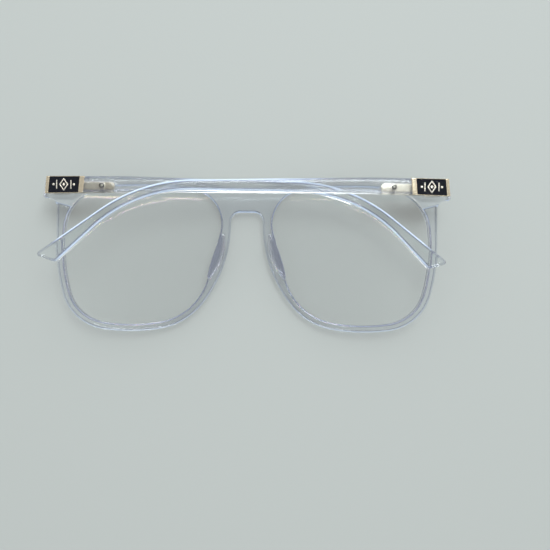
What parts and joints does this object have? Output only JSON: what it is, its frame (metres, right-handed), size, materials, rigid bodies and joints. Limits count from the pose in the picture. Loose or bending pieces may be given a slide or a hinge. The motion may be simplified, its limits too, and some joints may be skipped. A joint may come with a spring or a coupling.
{
  "type": "square eyeglasses",
  "caption": "Square full-rim eyeglasses in clear acetate with clear lenses, gold-edged black temple caps, and hinged temples folded over the back.",
  "frame": {"origin": "centre of the bounding box's foot, on the table that the folded glasses lie on, front down", "axes": "+X across the front towards the wearer's right, +Y up the wearer's face, +Z from the front towards the wearer, which is up as they lie"},
  "size_m": [0.1454, 0.056, 0.0253],
  "materials": {
    "acetate_clear": "polished",
    "lens_clear": "polished",
    "hinge_gold": "satin",
    "cap_gold": "polished",
    "enamel_black": "glossy",
    "screw_steel": "satin"
  },
  "bodies": {
    "front": {"front_frame": "acetate_clear", "lens_left": "lens_clear", "nose_pad_left": "acetate_clear", "front_hinge_left": "hinge_gold", "front_hinge_rivets_left": "hinge_gold", "hinge_screw_left": "screw_steel", "lens_right": "lens_clear", "nose_pad_right": "acetate_clear", "front_hinge_right": "hinge_gold", "front_hinge_rivets_right": "hinge_gold", "hinge_screw_right": "screw_steel"},
    "temple_left": {"temple_left": "acetate_clear", "temple_hinge_left": "hinge_gold", "temple_rivets_left": "hinge_gold", "end_cap_left": "cap_gold", "enamel_left": "enamel_black", "ornament_left": "cap_gold"},
    "temple_right": {"temple_right": "acetate_clear", "temple_hinge_right": "hinge_gold", "temple_rivets_right": "hinge_gold", "end_cap_right": "cap_gold", "enamel_right": "enamel_black", "ornament_right": "cap_gold"}
  },
  "joints": [
    {"name": "temple_left_hinge", "type": "hinge", "parent": "front", "child": "temple_left", "pos_m": [-0.0678, 0.02384, 0.01648], "axis": [0, -1, -0.0076], "range_deg": [0, 91.75]},
    {"name": "temple_right_hinge", "type": "hinge", "parent": "front", "child": "temple_right", "pos_m": [0.0678, 0.02384, 0.01648], "axis": [0, 1, 0.0076], "range_deg": [0, 88.1]}
  ]
}
